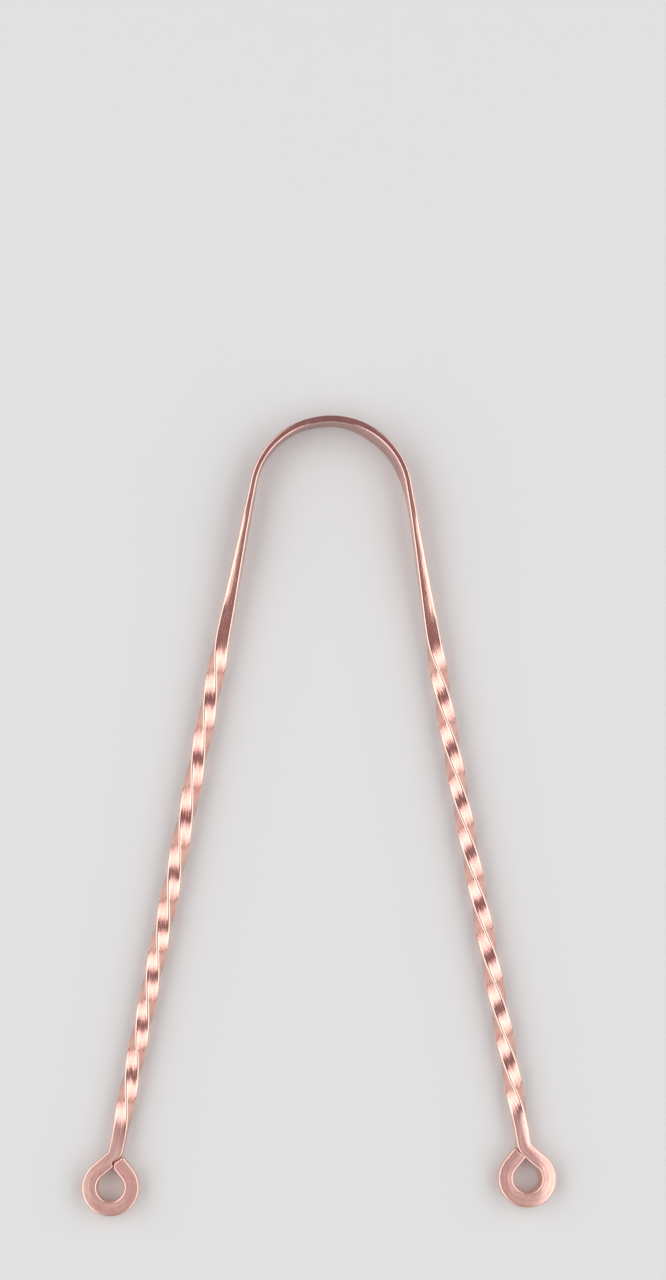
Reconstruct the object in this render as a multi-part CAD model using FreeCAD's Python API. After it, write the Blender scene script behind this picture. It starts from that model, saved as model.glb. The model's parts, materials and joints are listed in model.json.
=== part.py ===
import FreeCAD, Part
import math
import os

from FreeCAD import Placement, Rotation, Vector

# Tongue scraper forged by hand from one square copper bar, in millimetres and degrees.
# The U lies flat with its bow towards +Y, its two eyes towards -Y and +Z up.
# The origin is the middle of the floor that the whole tool covers.

# Scraping bow: the bar beaten to a thin strip that stands on edge
bow_inside_radius = 12.1
strip_thickness = 1.15
strip_width = 4.4
strip_edge_radius = 0.45

# Arms: straight strip, taper back to the square bar, then the twist
splay_angle = 10.45
strip_run = 6.9
bar_side = 2.2
bar_edge_radius = 0.48
twist_quarter_turns = 9
twist_ease_length = 4.0

# Worked by hand, the two arms are a little unequal, and each twist lags in its middle
left_taper_length = 18.0
right_taper_length = 17.9
left_twist_length = 81.9
right_twist_length = 79.4
left_twist_lag_angle = 28.0
right_twist_lag_angle = 2.0
left_neck_length = 2.2
right_neck_length = 2.65

# Eyes: a kink outwards, and a ring, hung a little inside the arm's line, whose cut end butts the kinked bar
kink_inside_radius = 0.45
eye_lead_angle = 38.5
eye_return_angle = 52.5
eye_bore_radius = 2.2
eye_end_gap = 0.15
left_eye_inset = 0.35
right_eye_inset = 0.55

# Flex seats: where the strip is divided for its bending, a round nose sits in a round groove
seat_nose_radius = 0.4
seat_clearance = 0.03
seat_face_gap = 0.1

# How finely the lofted lengths follow their rules
taper_sections = 9
twist_sections_per_quarter = 4

# Worked out from the driving dimensions
bow_radius = bow_inside_radius + strip_thickness / 2
ring_radius = eye_bore_radius + bar_side / 2
ring_outside_radius = eye_bore_radius + bar_side
kink_radius = kink_inside_radius + bar_side / 2
lead_radians = math.radians(eye_lead_angle)
kink_setback = kink_radius * math.tan(lead_radians / 2)
return_length = ring_radius / math.tan(math.radians(eye_lead_angle + eye_return_angle) / 2)
total_height = max(strip_width, bar_side)

UP = Vector(0, 0, 1)
ALONG = Vector(1, 0, 0)
LENGTHWISE = Vector(0, 1, 0)


def heading_vector(heading):
    """Unit vector in the plane of the U, turned by a heading from +X."""
    angle = math.radians(heading)
    return Vector(math.cos(angle), math.sin(angle), 0)


def eye_reach(twist_end, neck_length, eye_inset):
    """Distance along an arm from its flex seat to the centre of its eye."""
    drop = (ring_radius - eye_inset * math.cos(lead_radians)) / math.sin(lead_radians)
    return twist_end + neck_length + kink_setback + drop


# Distances along each arm from its flex seat
left_twist_start = strip_run + left_taper_length
right_twist_start = strip_run + right_taper_length
left_twist_end = left_twist_start + left_twist_length
right_twist_end = right_twist_start + right_twist_length
left_reach = eye_reach(left_twist_end, left_neck_length, left_eye_inset)
right_reach = eye_reach(right_twist_end, right_neck_length, right_eye_inset)

# Places from the centre of the bow, then the centre itself, which centres the tool's box on the origin
arm_heading = splay_angle - 90
outward = heading_vector(splay_angle)
seat_offset = outward * bow_radius
left_eye_offset = seat_offset + heading_vector(arm_heading) * left_reach - outward * left_eye_inset
right_eye_offset = seat_offset + heading_vector(arm_heading) * right_reach - outward * right_eye_inset
crown_y = bow_radius + strip_thickness / 2
lowest_y = min(left_eye_offset.y, right_eye_offset.y) - ring_outside_radius
bow_centre = Vector((left_eye_offset.x - right_eye_offset.x) / 2, -(crown_y + lowest_y) / 2, 0)
arm_placement = Placement(bow_centre + seat_offset, Rotation(UP, arm_heading))


def section(thickness, width, edge_radius):
    """Closed outline of the bar in the YZ plane: thickness along Y, width along Z, round edges."""
    radius = min(edge_radius, 0.45 * min(thickness, width))
    y = thickness / 2 - radius
    z = width / 2 - radius
    arcs = []
    for corner_y, corner_z, start in ((y, z, 0), (-y, z, 90), (-y, -z, 180), (y, -z, 270)):
        points = []
        for turn in (0, 45, 90):
            angle = math.radians(start + turn)
            points.append(Vector(0, corner_y + radius * math.cos(angle), corner_z + radius * math.sin(angle)))
        arcs.append(points)
    edges = []
    for points, after in zip(arcs, arcs[1:] + arcs[:1]):
        edges.append(Part.Arc(*points).toShape())
        edges.append(Part.LineSegment(points[2], after[0]).toShape())
    return Part.Wire(edges)


def moved_along(wire, distance, turn=0.0):
    """The outline set at a distance along the arm, turned about the arm's own axis."""
    copy = wire.copy()
    copy.Placement = Placement(ALONG * distance, Rotation(ALONG, turn))
    return copy


strip_outline = section(strip_thickness, strip_width, strip_edge_radius)
bar_outline = section(bar_side, bar_side, bar_edge_radius)


def upright_cylinder(point, radius):
    """A cylinder through the whole height of the tool."""
    return Part.makeCylinder(radius, 2 * total_height, point - UP * total_height, UP)


def scraping_bow():
    """Half ring of strip, with a round groove for an arm's nose at each end."""
    trim = math.degrees(seat_face_gap / 2 / bow_radius)
    start = Part.Face(strip_outline)
    start.Placement = arm_placement
    start.rotate(bow_centre, UP, trim)
    bow = start.revolve(bow_centre, UP, 180 - 2 * splay_angle - 2 * trim)
    for side in (1, -1):
        seat = bow_centre + Vector(side * seat_offset.x, seat_offset.y, 0)
        bow = bow.cut(upright_cylinder(seat, seat_nose_radius + seat_clearance))
    return bow


def shoulder(taper_length):
    """Straight strip with a round nose, then the taper that thickens as it narrows."""
    land = seat_face_gap / 2
    run = Part.Face(moved_along(strip_outline, land)).extrude(ALONG * (strip_run - land))
    nose = Part.Face(moved_along(strip_outline, -strip_thickness)).extrude(ALONG * (strip_thickness + land))
    nose = nose.common(upright_cylinder(Vector(0, 0, 0), seat_nose_radius))
    outlines = []
    for number in range(taper_sections):
        share = number / (taper_sections - 1)
        # The blend has level ends, and its powers keep the section's area even, as hammering does
        blend = share * share * (3 - 2 * share)
        thickness = strip_thickness * (bar_side / strip_thickness) ** blend
        width = strip_width * (bar_side / strip_width) ** blend
        edge_radius = strip_edge_radius + (bar_edge_radius - strip_edge_radius) * blend
        outlines.append(moved_along(section(thickness, width, edge_radius), strip_run + taper_length * share))
    taper = Part.makeLoft(outlines, True, False)
    return run.fuse([nose, taper]).removeSplitter()


def twist_share(distance, twist_length):
    """Share of the twist made up to a distance, easing in and out over the ease length."""
    steady_end = twist_length - twist_ease_length
    total = 0.0
    for mark, sign in ((0.0, 1), (twist_ease_length, -1), (steady_end, -1)):
        total += sign * max(distance - mark, 0.0) ** 2
    return total / (2 * twist_ease_length * steady_end)


def twisted_shank(twist_start, twist_length, lag_angle):
    """Square bar twisted left-handed by quarter turns, behind an even twist in its middle by the lag."""
    count = math.ceil(twist_quarter_turns * twist_sections_per_quarter)
    outlines = []
    for number in range(count + 1):
        distance = twist_length * number / count
        share = twist_share(distance, twist_length)
        turn = 90 * twist_quarter_turns * share - lag_angle * math.sin(math.pi * share) ** 2
        outlines.append(moved_along(bar_outline, twist_start + distance, -turn))
    return Part.makeLoft(outlines, True, False)


def bar_face(point, heading):
    """Square section at a point, facing along a heading."""
    face = Part.Face(bar_outline)
    face.Placement = Placement(point, Rotation(UP, heading))
    return face


def straight_bar(point, heading, length):
    """A run of bar, with the point where it ends."""
    step = heading_vector(heading) * length
    return bar_face(point, heading).extrude(step), point + step


def bent_bar(point, heading, radius, turn):
    """A bend of bar about a centre beside it, with the point and heading where it ends."""
    side = math.copysign(90, turn)
    centre = point + heading_vector(heading + side) * radius
    bend = bar_face(point, heading).revolve(centre, UP, turn)
    end = centre + heading_vector(heading + turn - side) * radius
    return bend, end, heading + turn


def eye(twist_end, neck_length, eye_inset):
    """Neck, kink outwards, ring, and the return whose cut end butts the kinked bar."""
    lead_length = (ring_radius * math.cos(lead_radians) - eye_inset) / math.sin(lead_radians)
    point = ALONG * twist_end
    neck, point = straight_bar(point, 0, neck_length)
    kink, point, lead_heading = bent_bar(point, 0, kink_radius, eye_lead_angle)
    lead, point = straight_bar(point, lead_heading, lead_length - kink_setback)
    ring_turn = -(180 + eye_lead_angle + eye_return_angle)
    ring, point, back_heading = bent_bar(point, lead_heading, ring_radius, ring_turn)
    back, tip = straight_bar(point, back_heading, return_length)
    # The return is sheared along the side of the kinked bar, a narrow gap away from it
    room = bar_side + 2 * eye_end_gap
    reach = 2 * return_length
    shear = Part.makeBox(2 * reach, room, 2 * total_height)
    shear.translate(Vector(-reach, -room / 2, -total_height))
    shear.Placement = Placement(tip, Rotation(UP, lead_heading)).multiply(shear.Placement)
    return neck.fuse([kink, lead, ring, back.cut(shear)]).removeSplitter()


def placed(shape, side):
    """An arm's piece at its seat. The left arm is turned over, which keeps the hand of its twist."""
    copy = shape.copy()
    copy.Placement = arm_placement.multiply(copy.Placement)
    if side == "left":
        copy.rotate(bow_centre, LENGTHWISE, 180)
    return copy


nodes = {"scraping_bow": scraping_bow()}
nodes["left_shoulder"] = placed(shoulder(left_taper_length), "left")
nodes["right_shoulder"] = placed(shoulder(right_taper_length), "right")
left_twist = twisted_shank(left_twist_start, left_twist_length, left_twist_lag_angle)
right_twist = twisted_shank(right_twist_start, right_twist_length, right_twist_lag_angle)
nodes["left_twisted_shank"] = placed(left_twist, "left")
nodes["right_twisted_shank"] = placed(right_twist, "right")
nodes["left_eye"] = placed(eye(left_twist_end, left_neck_length, left_eye_inset), "left")
nodes["right_eye"] = placed(eye(right_twist_end, right_neck_length, right_eye_inset), "right")

os.makedirs("parts", exist_ok=True)
for name, shape in nodes.items():
    shape.translate(UP * (total_height / 2))
    shape.exportStep(f"parts/{name}.step")
    print(name, round(shape.Volume, 2), "mm3, valid", shape.isValid(), "solids", len(shape.Solids))

for name, offset in (("flex seat", seat_offset), ("left eye", left_eye_offset), ("right eye", right_eye_offset)):
    print(f"{name} from the bow's centre", round(offset.x, 4), round(offset.y, 4))
print("bow centre", round(bow_centre.x, 4), round(bow_centre.y, 4))
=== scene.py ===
# %% [markdown]
# # A forged copper tongue scraper
# The real tool is one square copper bar. The smith beats the middle of the bar to a thin strip and
# bends it to a bow, twists both arms cold, and bends the two ends round to eyes. So this lesson draws
# one line for each arm, from the crown of the bow to the cut end of the eye, and lets one Geometry
# Nodes tree give that line its section: thin strip, taper, twist and square end are all one rule along
# one length.

# %% Load the frame
import json
import math
from types import SimpleNamespace

import bmesh
import bpy
from mathutils import Matrix, Vector


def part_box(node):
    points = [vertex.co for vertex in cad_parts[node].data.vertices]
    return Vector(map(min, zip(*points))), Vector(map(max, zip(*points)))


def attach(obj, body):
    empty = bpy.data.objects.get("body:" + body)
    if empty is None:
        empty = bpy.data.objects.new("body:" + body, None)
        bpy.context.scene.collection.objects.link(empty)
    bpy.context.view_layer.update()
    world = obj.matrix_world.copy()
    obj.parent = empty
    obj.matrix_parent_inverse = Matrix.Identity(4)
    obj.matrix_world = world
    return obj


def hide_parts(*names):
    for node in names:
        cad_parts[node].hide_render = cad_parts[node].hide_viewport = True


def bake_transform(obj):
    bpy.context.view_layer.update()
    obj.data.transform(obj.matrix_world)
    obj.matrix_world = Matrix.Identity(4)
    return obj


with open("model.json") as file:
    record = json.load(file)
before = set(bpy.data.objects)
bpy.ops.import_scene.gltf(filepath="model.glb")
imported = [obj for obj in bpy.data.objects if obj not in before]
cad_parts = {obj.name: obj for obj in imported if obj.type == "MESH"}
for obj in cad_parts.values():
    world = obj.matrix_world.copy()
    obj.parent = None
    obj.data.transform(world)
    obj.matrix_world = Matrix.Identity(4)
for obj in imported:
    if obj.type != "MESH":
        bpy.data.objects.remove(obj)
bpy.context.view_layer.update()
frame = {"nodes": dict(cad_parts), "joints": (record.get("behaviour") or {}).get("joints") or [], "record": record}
print("frame nodes:", sorted(frame["nodes"]))

# %% [markdown]
# ## Sizes
# The frame already knows where the tool flexes, where its eyes are and how thick the bar is, so those
# places are read and not typed again. An eye's centre hangs a little inside the straight line of its
# arm, so the splay of the arms, and from it the radius and centre of the bow, follow from four points
# and that inset.

# %% Read places from the frame
MM = 0.001
SIDES = {"left": -1, "right": 1}

joints = {joint["name"]: joint for joint in frame["joints"]}
mounts = {mount["name"]: mount for mount in frame["record"]["mounts"]}
seats = {side: Vector(joints[f"{side}_flex"]["pos_m"]) for side in SIDES}
eye_centres = {side: Vector(mounts[f"{side}_eye_bore"]["pos_m"]) for side in SIDES}

strip_low, strip_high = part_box("scraping_bow")
eye_low, eye_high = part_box("left_eye")
strip_width = strip_high.z - strip_low.z
bar_side = eye_high.z - eye_low.z
bore_radius = mounts["left_eye_bore"]["dims"]["r_mm"] * MM

eye_insets = {"left": 0.35 * MM, "right": 0.55 * MM}
right_arm = eye_centres["right"] - seats["right"]
splay = math.atan2(right_arm.x, -right_arm.y) + math.asin(eye_insets["right"] / right_arm.length)
bow_radius = (seats["right"].x - seats["left"].x) / 2 / math.cos(splay)
bow_centre = (seats["left"] + seats["right"]) / 2 - Vector((0, bow_radius * math.sin(splay), 0))
print("bow radius", round(bow_radius / MM, 3), "mm, splay", round(math.degrees(splay), 2), "degrees")

# %% [markdown]
# The lengths that the smith chose are named here once. The neck is what is left between the twist and
# the eye, so that the eye always lands on its mount. The two arms were not worked alike. The left eye
# has a softer kink, and its cut end, with one corner knocked off, digs into a nick in the bar beside
# it. The right eye is closed tight, and the side of its ring leans outwards. The shoulders swell before
# they narrow. The outer half of the top is beaten to a bevel at both shoulders, and at the neck of the
# right eye. The foot of the bow was pressed inwards on its right half and a little outwards on its left
# half. The arms sag inwards by a fraction of a millimetre, and the worked bar is a hair fuller than the
# frame's.

# %% Name the smith's lengths
strip_thickness = 1.15 * MM
strip_edge_radius = 0.36 * MM
strip_run = 6.9 * MM
bar_fullness = 0.15 * MM
bar_edge_radius = 0.34 * MM
taper_lengths = {"left": 18.0 * MM, "right": 17.9 * MM}
twist_lengths = {"left": 81.9 * MM, "right": 79.4 * MM}
twist_lags = {"left": math.radians(28), "right": math.radians(2)}
twist_ease = 4.0 * MM
quarter_turns = 9

# Uneven arms: a skew under 1 brings the deepest sag nearer to the bow
arm_sags = {"left": 0.17 * MM, "right": 0.45 * MM}
sag_skew = 0.85
foot_slants = {"left": math.radians(-3), "right": math.radians(8)}

# Uneven shoulders: the swell and the bevel start this far below the flex seat
swell_start = 1.0 * MM
bevel_start = 4.0 * MM
bevel_lengths = {"left": 14.0 * MM, "right": 15.8 * MM}
bevel_ridges = {"left": 0.12 * MM, "right": -0.07 * MM}
shoulder_bevels = {"left": math.radians(12), "right": math.radians(13)}

# Eyes: a gap below nothing lets the cut end into the nick
lead_angles = {"left": math.radians(38.5), "right": math.radians(36)}
return_angles = {"left": math.radians(50.5), "right": math.radians(49)}
kink_inside_radii = {"left": 0.9 * MM, "right": 0.45 * MM}
end_gaps = {"left": -0.34 * MM, "right": 0.06 * MM}
end_shears = {"left": math.radians(-5), "right": math.radians(0)}
end_rounds = {"left": 0.36 * MM, "right": 0.16 * MM}
end_chamfers = {"left": 0.6 * MM, "right": 0.0}
nick_depths = {"left": 0.66 * MM, "right": 0.0}
neck_bevels = {"left": math.radians(0), "right": math.radians(16)}
eye_crowns = {"left": 0.012 * MM, "right": 0.045 * MM}
eye_leans = {"left": math.radians(-2), "right": math.radians(-14)}

ring_radius = bore_radius + bar_side / 2
bow_angle = math.pi / 2 - splay
seat_mark = bow_radius * bow_angle
taper_mark = seat_mark + strip_run
twist_marks = {side: taper_mark + taper_lengths[side] for side in SIDES}
twist_ends = {side: twist_marks[side] + twist_lengths[side] for side in SIDES}
print("seat", round(seat_mark / MM, 2), "mm from the crown, taper", round(taper_mark / MM, 2), "mm")

# %% [markdown]
# ## One line for each arm
# A line made of straight legs and round bends is easy to follow by walking it. A leg is a length and a
# turn, and the place at any distance is found by taking each leg in order. A sampled curve would do as
# well, but walking gives the exact heading at every place, and the sections of two pieces then meet
# without a step.

# %% Walk the middle line of the bar
def arm_legs(side):
    """Length and turn of each leg of an arm, from the crown of the bow to the cut end of the eye."""
    sign = SIDES[side]
    lead = lead_angles[side]
    joint = lead + return_angles[side]
    inset = eye_insets[side]
    kink_radius = kink_inside_radii[side] + bar_side / 2
    setback = kink_radius * math.tan(lead / 2)
    reach = math.sqrt((eye_centres[side] - seats[side]).length ** 2 - inset**2)
    drop = (ring_radius - inset * math.cos(lead)) / math.sin(lead)
    lead_length = (ring_radius * math.cos(lead) - inset) / math.sin(lead)
    return_length = ring_radius / math.tan(joint / 2)
    cut_back = (bar_side / 2 + end_gaps[side]) / math.sin(joint)
    return [
        (seat_mark, -sign * bow_angle),
        (reach - drop - setback, 0.0),
        (kink_radius * lead, sign * lead),
        (lead_length - setback, 0.0),
        (ring_radius * (math.pi + joint), -sign * (math.pi + joint)),
        (return_length - cut_back, 0.0),
    ]


def bar_place(side, along):
    """Point and heading of an arm's middle line at a distance from the crown of the bow."""
    point = bow_centre + Vector((0, bow_radius, 0))
    heading = 0.0 if side == "right" else math.pi
    legs = arm_legs(side)
    share = min(max((along - seat_mark) / legs[1][0], 0.0), 1.0)
    inward = Vector((-SIDES[side] * math.cos(splay), -math.sin(splay), 0))
    sag = inward * arm_sags[side] * math.sin(math.pi * share**sag_skew) ** 2
    for length, turn in legs:
        step = min(along, length)
        bend = turn * step / length
        if turn:
            across = math.sin(heading + bend) - math.sin(heading)
            down = math.cos(heading) - math.cos(heading + bend)
            point = point + Vector((across, down, 0)) * (length / turn)
        else:
            point = point + Vector((math.cos(heading), math.sin(heading), 0)) * step
        heading += bend
        along -= step
    return point + sag, heading


bar_ends = {side: sum(length for length, turn in arm_legs(side)) for side in SIDES}
kink_marks = {side: sum(length for length, turn in arm_legs(side)[:3]) for side in SIDES}
ring_marks = {side: sum(length for length, turn in arm_legs(side)[:4]) for side in SIDES}
print("bar in all", round(sum(bar_ends.values()) / MM, 1), "mm")

# %% [markdown]
# A path is a chain of vertices that carries what the tree needs to know at each place: the point
# itself, the heading and the distance from the crown. A curve object could carry the line too, but it
# would work out headings of its own. The last stations before a cut end crowd together, so that the
# tree can round it off.

# %% Make a path that carries its own measures
STATION_STEP = 0.12 * MM
END_STATIONS = 6


def stations(start, end, end_round):
    """Distances at which a path has its vertices, crowded together towards a rounded end."""
    even_end = end - end_round
    count = math.ceil((even_end - start) / STATION_STEP)
    places = [start + (even_end - start) * number / count for number in range(count + 1)]
    if end_round:
        step_angle = math.pi / 2 / END_STATIONS
        for number in range(1, END_STATIONS + 1):
            places.append(even_end + end_round * math.sin(step_angle * number))
    return places


def add_attribute(mesh, name, kind, values):
    """A named value on every vertex; a vector's parts come one after the other."""
    attribute = mesh.attributes.new(name, kind, "POINT")
    attribute.data.foreach_set("vector" if kind == "FLOAT_VECTOR" else "value", values)


def add_object(name, data):
    """A new object of the scene, at the origin."""
    thing = bpy.data.objects.new(name, data)
    bpy.context.scene.collection.objects.link(thing)
    return thing


def path_object(side, start, end):
    """The chain of vertices along one length of an arm."""
    places = stations(start, end, end_rounds[side] if end == bar_ends[side] else 0.0)
    points = []
    headings = []
    for along in places:
        point, heading = bar_place(side, along)
        points.append(point)
        headings += [math.cos(heading), math.sin(heading), 0.0]
    mesh = bpy.data.meshes.new("path")
    mesh.from_pydata(points, [(number, number + 1) for number in range(len(points) - 1)], [])
    add_attribute(mesh, "spine", "FLOAT_VECTOR", [part for point in points for part in point])
    add_attribute(mesh, "heading", "FLOAT_VECTOR", headings)
    add_attribute(mesh, "along", "FLOAT", places)
    return add_object("path", mesh)


print("stations on each half of the bow:", len(stations(0.0, seat_mark, 0.0)))

# %% [markdown]
# ## The section
# Every section of the bar is a rectangle with round edges, and only its thickness, width and edge
# radius change. So the outline holds no sizes at all: each of its points says which corner it belongs
# to (a sign for each side) and which way it faces. The tree multiplies the first by the half sizes and
# the second by the edge radius, and any rounded rectangle comes out.

# %% Make the outline of the section
EDGE_STEPS = 8
FACE_STEPS = 10


def outline_object():
    """A closed loop of vertices that carry their corner, the way they face and their share of a flat."""
    corner_signs = [(1, 1), (-1, 1), (-1, -1), (1, -1)]
    corners = []
    faces_out = []
    flat_shares = []
    for quarter in range(4):
        here = Vector((0, *corner_signs[quarter]))
        after = Vector((0, *corner_signs[(quarter + 1) % 4]))
        for step in range(EDGE_STEPS + FACE_STEPS):
            share = max(step - EDGE_STEPS, 0) / FACE_STEPS
            angle = math.pi / 2 * (quarter + min(step / EDGE_STEPS, 1))
            corners.append(here.lerp(after, share))
            faces_out.append(Vector((0, math.cos(angle), math.sin(angle))))
            flat_shares.append(min(share, 1 - share))
    mesh = bpy.data.meshes.new("outline")
    count = len(corners)
    edges = [(number, (number + 1) % count) for number in range(count)]
    mesh.from_pydata([out * MM for out in faces_out], edges, [])
    add_attribute(mesh, "corner", "FLOAT_VECTOR", [part for corner in corners for part in corner])
    add_attribute(mesh, "faces_out", "FLOAT_VECTOR", [part for out in faces_out for part in out])
    add_attribute(mesh, "flat_share", "FLOAT", flat_shares)
    return add_object("outline", mesh)


outline = outline_object()
print("outline points:", len(outline.data.vertices))

# %% [markdown]
# ## Arithmetic in nodes
# A rule such as the twist needs a dozen Math nodes, and wiring them one by one hides the rule. This
# small class stands for a number inside a tree: adding or multiplying two of them adds the Math node
# that does it. It serves Geometry Nodes and materials alike.

# %% Let node formulas read as arithmetic
def feed(tree, socket, value):
    """Links a number of the tree, or another socket, into a socket, or sets it to a plain value."""
    if isinstance(value, Quantity):
        tree.links.new(value.socket, socket)
    elif isinstance(value, bpy.types.NodeSocket):
        tree.links.new(value, socket)
    else:
        socket.default_value = value


class Quantity:
    """A number inside a node tree."""

    def __init__(self, tree, socket):
        self.tree = tree
        self.socket = socket

    def math(self, operation, *others, clamp=False):
        node = self.tree.nodes.new("ShaderNodeMath")
        node.operation = operation
        node.use_clamp = clamp
        for socket, value in zip(node.inputs, (self, *others)):
            feed(self.tree, socket, value)
        return Quantity(self.tree, node.outputs[0])

    def __add__(self, other):
        return self.math("ADD", other)

    def __sub__(self, other):
        return self.math("SUBTRACT", other)

    def __mul__(self, other):
        return self.math("MULTIPLY", other)

    def __truediv__(self, other):
        return self.math("DIVIDE", other)

    def __pow__(self, other):
        return self.math("POWER", other)

    def __neg__(self):
        return self.math("MULTIPLY", -1.0)

    def at_least(self, other):
        return self.math("MAXIMUM", other)

    def share(self, start, length):
        """0 before start, 1 after start + length, and a straight rise between them."""
        return (self - start).math("DIVIDE", length, clamp=True)

    def rise(self, start, length):
        """The same share with a smooth rise."""
        share = self.share(start, length)
        return share * share * (-(share * 2.0) + 3.0)


def add_node(tree, kind, feeds=None, **settings):
    """A node with its settings and its inputs fed."""
    node = tree.nodes.new(kind)
    for name, value in settings.items():
        setattr(node, name, value)
    for name, value in (feeds or {}).items():
        feed(tree, node.inputs[name], value)
    return node


def combine(tree, x, y, z):
    """A vector socket from three numbers."""
    return add_node(tree, "ShaderNodeCombineXYZ", {"X": x, "Y": y, "Z": z}).outputs[0]


def separate(tree, vector):
    """The three numbers of a vector socket."""
    node = add_node(tree, "ShaderNodeSeparateXYZ", {0: vector})
    return [Quantity(tree, output) for output in node.outputs]


# %% [markdown]
# ## The worked bar
# One tree turns any stretch of the line into finished copper. Curve to Mesh gives the faces, and Set
# Position then puts each point where the rules say. A stack of taper, twist and displace modifiers
# could come near, but here every rule reads the same distance along the bar, and every size is a named
# input of one tree.

# %% List the sizes that the tree takes
def bar_sizes(side):
    """The named inputs of the tree for one arm."""
    return {
        "Side": float(SIDES[side]),
        "Strip thickness": strip_thickness,
        "Strip width": strip_width,
        "Strip edge radius": strip_edge_radius,
        "Bar side": bar_side + bar_fullness,
        "Bar edge radius": bar_edge_radius,
        "Taper start": taper_mark,
        "Taper length": taper_lengths[side],
        "Swell start": seat_mark + swell_start,
        "Swell length": twist_marks[side] - seat_mark - swell_start,
        "Twist start": twist_marks[side],
        "Twist length": twist_lengths[side],
        "Twist ease": twist_ease,
        "Full twist": quarter_turns * math.pi / 2,
        "Twist lag": twist_lags[side],
        "Foot slant": math.tan(foot_slants[side]) * SIDES[side],
        "Foot slant start": 0.0,
        "Foot slant end": 14.5 * MM,
        "Shoulder bevel": math.tan(shoulder_bevels[side]),
        "Shoulder bevel start": seat_mark + bevel_start,
        "Shoulder bevel end": seat_mark + bevel_start + bevel_lengths[side],
        "Shoulder ridge": bevel_ridges[side],
        "Neck ridge": 0.25 * MM,
        "Ridge softness": 0.2 * MM,
        "Neck bevel": math.tan(neck_bevels[side]),
        "Neck bevel start": twist_ends[side] - 5.0 * MM,
        "Neck bevel end": ring_marks[side] - 0.5 * MM,
        "Eye start": twist_ends[side],
        "Eye crown": eye_crowns[side],
        "Eye lean": eye_leans[side] * SIDES[side],
        "Eye lean start": ring_marks[side] - 2.0 * MM,
        "Eye lean end": ring_marks[side] + 4.2 * MM,
        "Nick depth": nick_depths[side],
        "Nick start": kink_marks[side] - 1.3 * MM,
        "Nick end": kink_marks[side] + 0.15 * MM,
        "Bar end": bar_ends[side],
        "End round": end_rounds[side],
        "End chamfer": end_chamfers[side],
        "End shear": math.tan(end_shears[side]) * SIDES[side],
        "Face crown": 0.012 * MM,
        "Hammer mark size": 3.2 * MM,
        "Hammer mark depth": 0.035 * MM,
        "Ripple depth": 0.012 * MM,
    }


print("sizes for each arm:", len(bar_sizes("right")))

# %% [markdown]
# The first rules need only the distance. The bar narrows along the taper, while its thickness swells
# from just below the place where it flexes. The twist eases in and out and lags in its middle, as a
# twist made by hand does. Bevels, the slant of the bow's foot and the lean of an eye each hold over one
# stretch of the bar.

# %% Write the rules along the bar
EASES = {
    "Foot slant": (9.0 * MM, 6.5 * MM),
    "Shoulder bevel": (4.0 * MM, 4.4 * MM),
    "Neck bevel": (4.0 * MM, 3.0 * MM),
    "Eye lean": (3.0 * MM, 4.0 * MM),
}


def stretch(along, size, name):
    """A named measure that holds over one stretch of the bar and eases to nothing beside it."""
    ease_in, ease_out = EASES[name]
    held = along.rise(size[f"{name} start"], ease_in) - along.rise(size[f"{name} end"], ease_out)
    return held * size[name]


def bar_twist(along, size):
    """Turn of the bar at a distance: a twist that eases and lags, and the lean of an eye."""
    inside = along - size["Twist start"]
    steady = size["Twist length"] - size["Twist ease"]
    total = inside.at_least(0.0) ** 2.0
    for mark in (size["Twist ease"], steady):
        total = total - (inside - mark).at_least(0.0) ** 2.0
    ended = (inside - size["Twist length"]).at_least(0.0) ** 2.0
    share = (total + ended) / (size["Twist ease"] * steady * 2.0)
    lag = (share * math.pi).math("SINE") ** 2.0 * size["Twist lag"]
    return lag - share * size["Full twist"] + stretch(along, size, "Eye lean")


def section_sizes(along, size):
    """Thickness, width and edge radius at a distance, and how much of the beaten strip is left there."""
    blend = along.rise(size["Taper start"], size["Taper length"])
    swell = along.share(size["Swell start"], size["Swell length"])
    swell = (swell + along.rise(size["Swell start"], size["Swell length"])) / 2.0
    thickness = size["Strip thickness"] * (size["Bar side"] / size["Strip thickness"]) ** swell
    width = size["Strip width"] * (size["Bar side"] / size["Strip width"]) ** blend
    radius = size["Strip edge radius"] + (size["Bar edge radius"] - size["Strip edge radius"]) * blend
    return thickness, width, radius, -blend + 1.0


# %% [markdown]
# The next rules place one point of the section. Hammer blows leave shallow hollows, deepest on the
# broad faces of the strip, and the flats are crowned by a hair, as worn flats are. All of this could be
# sculpted, but a rule is changed by one number and passes over the seams between pieces.

# %% Work the faces of the section
SATIN_LEAD = 4.5 * MM
SATIN_EASE = 5.0 * MM


def carried(tree, name, kind):
    """Socket of a named value that the path or the outline brought along."""
    return add_node(tree, "GeometryNodeInputNamedAttribute", {"Name": name}, data_type=kind).outputs[0]


def measured_point(tree, size):
    """What the rules know at a point: its distance, its place on the outline and the section there."""
    point = SimpleNamespace()
    point.along = Quantity(tree, carried(tree, "along", "FLOAT"))
    point.flat_share = Quantity(tree, carried(tree, "flat_share", "FLOAT"))
    point.out = separate(tree, carried(tree, "faces_out", "FLOAT_VECTOR"))
    point.broad = point.out[1] * point.out[1]
    point.satin = point.along.rise(size["Eye start"] - SATIN_LEAD, SATIN_EASE)
    point.thickness, point.width, radius, point.beaten = section_sizes(point.along, size)
    point.flat_y = point.thickness / 2.0 - radius
    point.flat_z = point.width / 2.0 - radius
    signs = separate(tree, carried(tree, "corner", "FLOAT_VECTOR"))
    point.y = signs[1] * point.flat_y + point.out[1] * radius
    point.z = signs[2] * point.flat_z + point.out[2] * radius
    point.bar_space = combine(tree, point.along * size["Side"], point.y * size["Side"], point.z)
    return point


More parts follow.
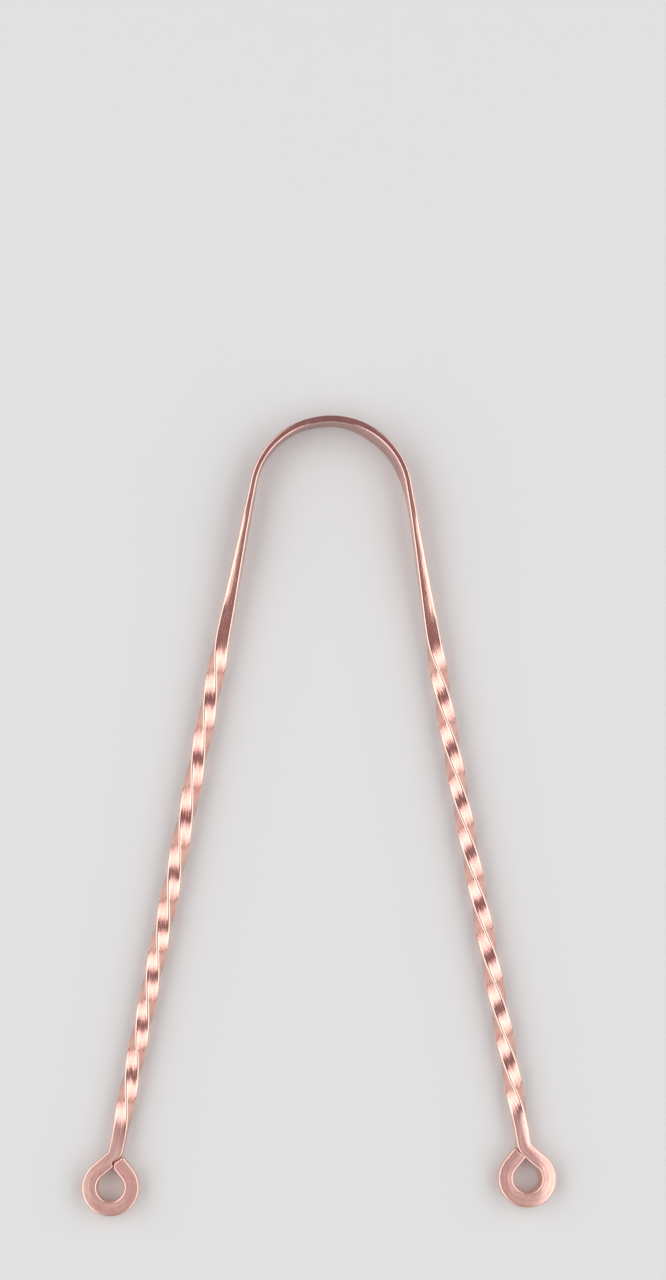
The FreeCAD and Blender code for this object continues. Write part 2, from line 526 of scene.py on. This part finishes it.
def face_push(tree, size, point):
    """How far a point stands out: hammer marks, crowned flats and the rounding of a cut end."""
    mark_scale = size["Hammer mark size"] ** -1.0
    mark_feeds = {"Vector": point.bar_space, "Scale": mark_scale, "Detail": 1.0}
    marks = Quantity(tree, add_node(tree, "ShaderNodeTexNoise", mark_feeds).outputs[0])
    depth = point.beaten * point.broad * size["Hammer mark depth"] + size["Ripple depth"]
    crown_height = size["Face crown"] + (size["Eye crown"] - size["Face crown"]) * point.satin
    crown = point.flat_share * (-point.flat_share + 1.0) * crown_height * 4.0
    over = (size["End round"] - (size["Bar end"] - point.along)).at_least(0.0)
    inset = size["End round"] - (size["End round"] ** 2.0 - over**2.0).at_least(0.0) ** 0.5
    return (marks - 0.5) * 2.0 * depth + crown - inset


# %% [markdown]
# Then the section is turned about the line, as the twist asks, its top is bevelled and its foot
# slanted. At the left eye, a nick and a knocked-off corner cut into its inner side. What comes out is
# set upright on the heading. Turning comes before bevelling, because the bevels were struck from above
# and don't follow the twist.

# %% Turn and strike the section
CUT_LENGTH = 1.2 * MM
NICK_WALL = 0.5 * MM
CHAMFER_LENGTH = 0.8 * MM


def struck_section(tree, size, point):
    """How far a point lies across the line, and its level above it."""
    along = point.along
    push = face_push(tree, size, point)
    y = point.y + point.out[1] * push
    z = point.z + point.out[2] * push
    turn = bar_twist(along, size)
    cosine = turn.math("COSINE")
    sine = turn.math("SINE")
    across = y * cosine - z * sine
    level = y * sine + z * cosine

    # The outer half of the top falls away past a soft ridge, and the foot is pressed aside
    topness = (level * 2.0).math("DIVIDE", point.width, clamp=True)
    bevel = stretch(along, size, "Shoulder bevel") + stretch(along, size, "Neck bevel")
    ridge = size["Shoulder ridge"] + (size["Neck ridge"] - size["Shoulder ridge"]) * point.satin
    past = across * size["Side"] - ridge
    outer = (past + (past**2.0 + size["Ridge softness"] ** 2.0) ** 0.5) / 2.0
    level = level - outer * topness * bevel
    across = across - (point.width / 2.0 - level) * stretch(along, size, "Foot slant")

    # The inner side gives way at the nick, and at the corner of the cut end
    nick = along.share(size["Nick start"], size["Nick end"] - size["Nick start"])
    nick = (nick - along.rise(size["Nick end"], NICK_WALL)) * size["Nick depth"]
    chamfer = along.share(size["Bar end"] - CHAMFER_LENGTH, CHAMFER_LENGTH) * size["End chamfer"]
    inner = (across * size["Side"] * -2.0).math("DIVIDE", point.thickness, clamp=True)
    return across + inner * (nick + chamfer) * size["Side"], level


def upright_place(tree, size, point):
    """Position of a point: the section upright on the heading, and sheared where the bar was cut."""
    across, level = struck_section(tree, size, point)
    shear = point.along.rise(size["Bar end"] - CUT_LENGTH, CUT_LENGTH) * size["End shear"] * across
    heading = separate(tree, carried(tree, "heading", "FLOAT_VECTOR"))
    offset_x = heading[0] * shear - heading[1] * across
    offset_y = heading[1] * shear + heading[0] * across
    offset = combine(tree, offset_x, offset_y, level)
    spine = carried(tree, "spine", "FLOAT_VECTOR")
    return add_node(tree, "ShaderNodeVectorMath", {0: spine, 1: offset}).outputs[0]


# %% [markdown]
# The tree puts the rules to work. It also writes down, for the material, where each point lay on the
# straight, untwisted bar, how near an edge it is, and which finish it has. Faces are smooth, apart from
# the crisp line where a cap meets the sides.

# %% Build the tree of the bar
CRISP_ANGLE = math.radians(50)


def copper_notes(point):
    """What the material needs to know at a point, with the kind of each value."""
    tall = point.out[1].math("ABSOLUTE") * point.flat_z
    wide = point.out[2].math("ABSOLUTE") * point.flat_y
    return {
        "bar_space": ("FLOAT_VECTOR", point.bar_space),
        "edge_distance": ("FLOAT", point.flat_share * (tall + wide) * 2.0),
        "satin": ("FLOAT", point.satin),
        "beaten": ("FLOAT", point.beaten),
        "broad": ("FLOAT", point.broad),
    }


def finished_faces(tree, faces, copper):
    """Shaded faces as one plain mesh of copper."""
    bend = add_node(tree, "GeometryNodeInputMeshEdgeAngle").outputs["Unsigned Angle"]
    crisp = Quantity(tree, bend).math("GREATER_THAN", CRISP_ANGLE)
    faces = add_node(tree, "GeometryNodeSetShadeSmooth", {"Geometry": faces}).outputs[0]
    crisp_feeds = {"Geometry": faces, "Selection": crisp, "Shade Smooth": False}
    faces = add_node(tree, "GeometryNodeSetShadeSmooth", crisp_feeds, domain="EDGE").outputs[0]
    faces = add_node(tree, "GeometryNodeRealizeInstances", {"Geometry": faces}).outputs[0]
    return add_node(tree, "GeometryNodeSetMaterial", {"Geometry": faces, "Material": copper}).outputs[0]


def worked_bar_tree(size_names):
    """The Geometry Nodes tree that gives a path its worked section."""
    tree = bpy.data.node_groups.new("worked_bar", "GeometryNodeTree")
    inputs = {"Path": "Geometry", "Outline": "Object", "Copper": "Material"}
    for name, kind in (inputs | dict.fromkeys(size_names, "Float")).items():
        tree.interface.new_socket(name, in_out="INPUT", socket_type=f"NodeSocket{kind}")
    tree.interface.new_socket("Bar", in_out="OUTPUT", socket_type="NodeSocketGeometry")
    given = tree.nodes.new("NodeGroupInput")
    size = {name: Quantity(tree, given.outputs[name]) for name in size_names}

    # The outline swept along the path, with both ends closed
    path = add_node(tree, "GeometryNodeMeshToCurve", {"Mesh": given.outputs["Path"]})
    loop = add_node(tree, "GeometryNodeObjectInfo", {"Object": given.outputs["Outline"]})
    loop = add_node(tree, "GeometryNodeMeshToCurve", {"Mesh": loop.outputs["Geometry"]})
    sweep_feeds = {"Curve": path.outputs[0], "Profile Curve": loop.outputs[0], "Fill Caps": True}
    faces = add_node(tree, "GeometryNodeCurveToMesh", sweep_feeds).outputs[0]

    # Each point put in its place, with its notes
    point = measured_point(tree, size)
    place_feeds = {"Geometry": faces, "Position": upright_place(tree, size, point)}
    faces = add_node(tree, "GeometryNodeSetPosition", place_feeds).outputs[0]
    for name, (kind, value) in copper_notes(point).items():
        note_feeds = {"Geometry": faces, "Name": name, "Value": value}
        faces = add_node(tree, "GeometryNodeStoreNamedAttribute", note_feeds, data_type=kind).outputs[0]
    faces = finished_faces(tree, faces, given.outputs["Copper"])
    tree.links.new(faces, tree.nodes.new("NodeGroupOutput").inputs["Bar"])
    return tree


bar_tree = worked_bar_tree(list(bar_sizes("right")))
print("nodes in the tree:", len(bar_tree.nodes))

# %% [markdown]
# ## Copper
# The finish differs along the one bar. The strip and the twist are polished, with fine lines along the
# bar from drawing and filing, and the beaten strip and the bow are a little rougher. The bow and the broad
# faces of the strip are also painted darker, as painted shade for the dim room and the shaded floor that
# they reflect. The eyes were heated for the bend and stayed satin and mauve, the left neck most of all.
# Edges are rubbed bright, and their lighter tint is partly painted highlight; light speckles are painted
# glints. A material for each piece would show a step at every seam, so all of it lives in one, as on the
# real bar one finish runs into the next. Its patterns sit on the untwisted bar, so the lines follow the
# twist and pass over the seams.

# %% Name the tints and patterns of copper
ROSE = (0.94, 0.57, 0.48, 1.0)
DEEP = (0.9, 0.49, 0.42, 1.0)
# Rubbed copper; on the edges and in the speckles it is also painted highlight
RUBBED_AND_HIGHLIGHT = (0.97, 0.71, 0.6, 1.0)
BEATEN = (0.84, 0.49, 0.43, 1.0)
MAUVE = (0.8, 0.49, 0.455, 1.0)
PLUM = (0.64, 0.385, 0.385, 1.0)
ROSY = (0.91, 0.57, 0.49, 1.0)
DUSKY = (0.6, 0.35, 0.35, 1.0)
# Painted shade: darker copper for the dim room and the shaded floor that the bow and the broad faces of the strip
# reflect
DARK_SHADE = (0.48, 0.29, 0.28, 1.0)
FAINT_SHADE = (0.72, 0.43, 0.4, 1.0)
STAIN = (0.45, 0.22, 0.21, 1.0)

# Scale along and across the bar for each millimetre, then detail and roughness of each pattern
PATTERNS = {
    "tone": (0.22, 0.6, 3.0, 0.5),
    "streaks": (0.16, 1.5, 2.0, 0.5),
    "lines": (0.1, 4.2, 3.0, 0.62),
    "grain": (0.9, 14.0, 2.0, 0.5),
    "speckle": (2.6, 3.4, 2.0, 0.5),
    "stains": (1.1, 2.0, 3.0, 0.6),
}


def mix_colour(tree, share, first, second):
    """A colour socket between two colours."""
    node = add_node(tree, "ShaderNodeMix", data_type="RGBA")
    feed(tree, node.inputs[0], share)
    feed(tree, node.inputs[6], first)
    feed(tree, node.inputs[7], second)
    return node.outputs[2]


def pattern(tree, spot, name):
    """A noise over the untwisted bar, stretched along it as its name asks."""
    along, across, detail, roughness = PATTERNS[name]
    mapping = add_node(tree, "ShaderNodeMapping", {"Vector": spot, "Scale": (along, across, across)})
    feeds = {"Vector": mapping.outputs[0], "Scale": 1.0, "Detail": detail, "Roughness": roughness}
    return Quantity(tree, add_node(tree, "ShaderNodeTexNoise", feeds).outputs[0])


print("patterns:", ", ".join(PATTERNS))

# %% Read the bar and its patterns
EDGE_BAND_WIDTH = 0.25 * MM


def bar_skin(tree):
    """What the copper reads at a spot: the notes that the tree of the bar left there, and the patterns."""

    def note(name, output):
        return add_node(tree, "ShaderNodeAttribute", attribute_name=name).outputs[output]

    spot_feeds = {0: note("bar_space", "Vector"), "Scale": 1 / MM}
    spot = add_node(tree, "ShaderNodeVectorMath", spot_feeds, operation="SCALE").outputs[0]
    skin = SimpleNamespace(**{name: pattern(tree, spot, name) for name in PATTERNS})
    skin.distance = separate(tree, spot)[0]
    skin.satin = Quantity(tree, note("satin", "Fac"))
    skin.beaten = Quantity(tree, note("beaten", "Fac"))
    skin.broad = Quantity(tree, note("broad", "Fac")) * skin.beaten
    skin.edge = -Quantity(tree, note("edge_distance", "Fac")).rise(0.0, EDGE_BAND_WIDTH) + 1.0
    skin.stain = skin.stains.rise(0.66, 0.06) * (-skin.edge * 0.8 + 1.0)
    return skin


# %% [markdown]
# The colour is laid on in thin coats. Each tint covers the ones before it by a share between 0 and 1,
# and the share says where it belongs: on the strip, on the eyes, in a stain or along an edge. A colour
# ramp along the bar could do part of this, but a coat can be added or taken out without touching the
# others.

# %% Lay the tints over each other
def copper_colour(tree, skin):
    """Colour of the bar: each tint covers the ones before it by its share."""
    # The distance runs from the crown in millimetres, and is negative along the left arm
    reach = skin.distance.math("ABSOLUTE")
    bow = -reach.rise(seat_mark / MM - 4.0, 5.0) + 1.0
    ring = reach.rise(min(ring_marks.values()) / MM - 2.5, 5.0)
    ring = ring - skin.distance.rise(bar_ends["right"] / MM - 6.0, 3.0) * 0.8
    # Painted shade for the broad faces of the strip, for the shaded floor beside the bar that they reflect, darker
    # on the left half
    inside = mix_colour(tree, skin.distance.rise(-6.0, 18.0), DARK_SHADE, FAINT_SHADE)
    neck = mix_colour(tree, skin.distance.rise(-1.0, 2.0), PLUM, MAUVE)
    tints = [
        (skin.beaten * 0.7, BEATEN),
        # Painted shade on the broad faces of the beaten strip
        (skin.broad * 0.8, inside),
        # Painted shade over the bow, for the dim room that its faces reflect
        (bow * 0.4, DARK_SHADE),
        (skin.satin * 0.85, mix_colour(tree, ring, neck, ROSY)),
        (skin.satin * skin.stains.rise(0.45, 0.2) * 0.3, DUSKY),
        (skin.satin * skin.lines.rise(0.5, 0.15) * 0.4, DUSKY),
        (skin.satin * skin.streaks.rise(0.42, 0.22) * 0.75, RUBBED_AND_HIGHLIGHT),
        # Light speckles: painted glints, partly a random mottled tone
        (skin.speckle.rise(0.5, 0.2) * 0.35, RUBBED_AND_HIGHLIGHT),
        # Edges: rubbed wear, lightened further as painted highlight for the bright lines of the softboxes
        (skin.edge * (-(skin.satin * 0.25 + bow * 0.3) + 0.6), RUBBED_AND_HIGHLIGHT),
        (skin.stain * 0.5, STAIN),
    ]
    colour = mix_colour(tree, skin.tone.rise(0.35, 0.3), DEEP, ROSE)
    for share, tint in tints:
        colour = mix_colour(tree, share, colour, tint)
    return colour


# %% [markdown]
# Roughness tells polished metal from satin metal more than colour does: the twist is smooth, the eyes
# are rougher, and the rubbed edges are the smoothest. The draw lines and scratches are bump, because
# most of them are finer than the faces of the mesh; the hammer marks are in the mesh itself.

# %% Finish the copper
RELIEF = 0.034 * MM


def worked_copper():
    """Copper with draw lines, rubbed edges lightened by painted highlight, painted shade on the bow and the strip,
    painted glints, satin eyes and a few stains.
    """
    material = bpy.data.materials.new("worked_copper")
    material.use_nodes = True
    tree = material.node_tree
    shader = tree.nodes["Principled BSDF"]
    skin = bar_skin(tree)
    feed(tree, shader.inputs["Base Color"], copper_colour(tree, skin))
    shader.inputs["Metallic"].default_value = 1.0

    roughness = (skin.tone - 0.5) * 0.1 + (skin.lines - 0.5) * 0.12 + 0.19
    roughness = roughness + skin.beaten * 0.1 + skin.satin * 0.22 + skin.stain * 0.15
    roughness = roughness * (skin.edge * (skin.satin * 0.5 - 0.65) + 1.0)
    feed(tree, shader.inputs["Roughness"], roughness)

    height = skin.streaks * 1.6 + skin.lines + skin.grain * 0.12 + skin.stains * 0.4
    height = height + skin.speckle * (skin.satin * 0.5 + 0.4)
    bump_feeds = {"Height": height, "Strength": -(skin.edge * 0.8) + 1.0, "Distance": RELIEF}
    feed(tree, shader.inputs["Normal"], add_node(tree, "ShaderNodeBump", bump_feeds).outputs[0])
    return material


copper = worked_copper()
print("copper nodes:", len(copper.node_tree.nodes))

# %% [markdown]
# ## The pieces
# The bar is divided where the smith's work changes, and the bow in the middle of its crown, because its
# two halves bend towards different arms. Each stretch gets its own path, runs through the tree, and is
# kept as a plain mesh with its normals turned outwards.

# %% Work the bar into pieces
def worked_piece(name, side, start, end):
    """One stretch of an arm as a finished mesh."""
    path = path_object(side, start, end)
    modifier = path.modifiers.new("worked_bar", "NODES")
    modifier.node_group = bar_tree
    values = {"Outline": outline, "Copper": copper, **bar_sizes(side)}
    for item in bar_tree.interface.items_tree:
        if item.in_out == "INPUT" and item.name in values:
            modifier[item.identifier] = values[item.name]
    depsgraph = bpy.context.evaluated_depsgraph_get()
    mesh = bpy.data.meshes.new_from_object(path.evaluated_get(depsgraph), depsgraph=depsgraph)
    bpy.data.objects.remove(path)
    for helper in ("spine", "heading", "along", "corner", "faces_out", "flat_share"):
        mesh.attributes.remove(mesh.attributes[helper])
    shell = bmesh.new()
    shell.from_mesh(mesh)
    bmesh.ops.recalc_face_normals(shell, faces=shell.faces)
    print(name, len(shell.faces), "faces,", round(shell.calc_volume() / MM**3, 1), "mm3")
    shell.to_mesh(mesh)
    shell.free()
    mesh.name = name
    return add_object(name, mesh)


bow_halves = {}
shoulders = {}
shanks = {}
eyes = {}
for side in SIDES:
    bow_halves[side] = worked_piece(f"bow_{side}_half", side, 0.0, seat_mark)
    shoulders[side] = worked_piece(f"{side}_shoulder_strip", side, seat_mark, twist_marks[side])
    shanks[side] = worked_piece(f"{side}_twisted_bar", side, twist_marks[side], twist_ends[side])
    eyes[side] = worked_piece(f"{side}_end_eye", side, twist_ends[side], bar_ends[side])
bpy.data.objects.remove(outline)

# %% [markdown]
# ## Motion
# When the arms are squeezed, the bow and the strip below it bend together. The bow's halves and the
# shoulders stay where they were built, in place of the frame's bow and shoulders. The twisted bars and
# the eyes are stiff and simply ride on their arm.

# %% Tie the stiff pieces to their arms
for side in SIDES:
    for piece, node in ((bow_halves[side], "scraping_bow"), (shoulders[side], f"{side}_shoulder")):
        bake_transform(piece)
        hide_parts(node)
    for piece, node, slot in (
        (shanks[side], f"{side}_twisted_shank", "polished_copper"),
        (eyes[side], f"{side}_eye", "satin_copper"),
    ):
        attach(piece, f"{side}_arm")
        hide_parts(node)

# %% [markdown]
# ## The floor
# The strip is wider than the bar is thick, so the tool lies a little tilted: it rests on the lower edge
# of the strip and on the last ridges of the twist. The frame stays level, so the floor takes the tilt,
# and nothing floats. The tilt is the steepest one at which no part of the arms goes through the floor.

# %% Lay the pale floor
PALE = (0.755, 0.81, 0.795, 1.0)
FLOOR_ROUGHNESS = 0.7
FLOOR_SIZE = 6.0
strip_rest_y = seats["right"].y - strip_run * math.cos(splay)


def floor_slope():
    """Rise of the floor towards the eyes for each metre, where it first touches an arm."""
    slopes = []
    for piece in (*shanks.values(), *eyes.values()):
        for vertex in piece.data.vertices:
            slopes.append(vertex.co.z / (strip_rest_y - vertex.co.y))
    return min(slopes)


slope = floor_slope()
half = FLOOR_SIZE / 2
corners = []
for x, y in ((-half, -half), (half, -half), (half, half), (-half, half)):
    corners.append((x, y, slope * (strip_rest_y - y)))
floor_mesh = bpy.data.meshes.new("floor")
floor_mesh.from_pydata(corners, [], [(0, 1, 2, 3)])
floor = add_object("floor", floor_mesh)
floor_paint = bpy.data.materials.new("pale_floor")
floor_paint.use_nodes = True
paint_inputs = floor_paint.node_tree.nodes["Principled BSDF"].inputs
paint_inputs["Base Color"].default_value = PALE
paint_inputs["Roughness"].default_value = FLOOR_ROUGHNESS
floor_mesh.materials.append(floor_paint)
print("floor tilt", round(math.degrees(math.atan(slope)), 3), "degrees")

# %% [markdown]
# ## Light
# Polished metal shows what stands around it. Two large softboxes, left and right of the tool, give the
# twist its white lights and the edges their bright lines. A softbox is brightest in its middle, so each
# is two lamps, a wide one and a smaller one in front of it. Between the softboxes, straight above, the
# room stays dim and a little warm, and that is why the flats that face the camera look dark and mauve.

# %% Set the softboxes and the room
LAMP_DISTANCE = 0.9
LAMP_LENGTH = 2.2
# High and low edge in degrees from straight up, closeness to the tool and brightness
LAMP_PARTS = {"wide": (20, 81, 1.0, 1.0), "core": (30, 62, 0.96, 0.5)}
ROOM_HIGH = (0.285, 0.205, 0.225, 1.0)
ROOM_LOW = (0.22, 0.19, 0.18, 1.0)


def softbox(name, sign, high_edge, low_edge, closeness, radiance):
    """A rectangular lamp beside the tool, seen from its middle between two angles from straight up."""
    distance = LAMP_DISTANCE * closeness
    middle = math.radians(high_edge + low_edge) / 2
    lamp = bpy.data.lights.new(name, "AREA")
    lamp.shape = "RECTANGLE"
    lamp.size = 2 * distance * math.tan(math.radians(low_edge - high_edge) / 2)
    lamp.size_y = LAMP_LENGTH * closeness
    lamp.energy = radiance * math.pi * lamp.size * lamp.size_y
    box = add_object(name, lamp)
    away = Vector((sign * math.sin(middle), 0, math.cos(middle)))
    lengthwise = Vector((0, 1, 0))
    box.matrix_world = Matrix((lengthwise.cross(away), lengthwise, away)).transposed().to_4x4()
    box.location = away * distance
    box.visible_camera = False


for side, sign in SIDES.items():
    for part, measures in LAMP_PARTS.items():
        softbox(f"{side}_softbox_{part}", sign, *measures)

world = bpy.data.worlds.new("dim_room")
world.use_nodes = True
bpy.context.scene.world = world
sky = world.node_tree
look = add_node(sky, "ShaderNodeTexCoord")
upward = separate(sky, look.outputs["Generated"])[2]
room = mix_colour(sky, upward.rise(0.0, 0.8), ROOM_LOW, ROOM_HIGH)
sky.links.new(room, sky.nodes["Background"].inputs["Color"])
print("softboxes at", LAMP_DISTANCE, "m")

# %% [markdown]
# ## Camera
# The photograph was taken from above with a long lens, tilted a little from the side of the eyes. The
# tilt shows as the sliver of the bow's inner face under the crown. Distance, tilt, roll and focal
# length were fitted to points along the whole tool.

# %% Place the camera
PHOTO_HEIGHT = 1280
# The sensor spans the longer side of the frame, which is its height
SENSOR = 36.0
FOCAL_PIXELS = 3100
CAMERA_DISTANCE = 0.5
CAMERA_TILT = math.radians(8)
CAMERA_ROLL = math.radians(0.84)
AIM_RIGHT = 0.67 * MM
AIM_DOWN = 22.86 * MM

target = Vector((bow_centre.x + AIM_RIGHT, bow_centre.y - AIM_DOWN, 0))
back = Vector((0, -math.sin(CAMERA_TILT), math.cos(CAMERA_TILT)))
level = Vector((0, math.cos(CAMERA_TILT), math.sin(CAMERA_TILT)))
sideways = Vector((1, 0, 0))
right = sideways * math.cos(CAMERA_ROLL) + level * math.sin(CAMERA_ROLL)
up = level * math.cos(CAMERA_ROLL) - sideways * math.sin(CAMERA_ROLL)
lens = bpy.data.cameras.new("camera")
lens.sensor_width = SENSOR
lens.lens = FOCAL_PIXELS / PHOTO_HEIGHT * SENSOR
lens.clip_start = 0.01
camera = add_object("camera", lens)
camera.matrix_world = Matrix((right, up, back)).transposed().to_4x4()
camera.location = target + back * CAMERA_DISTANCE
bpy.context.scene.camera = camera
bpy.context.scene.view_settings.view_transform = "Standard"
print("lens", round(lens.lens, 2), "mm")
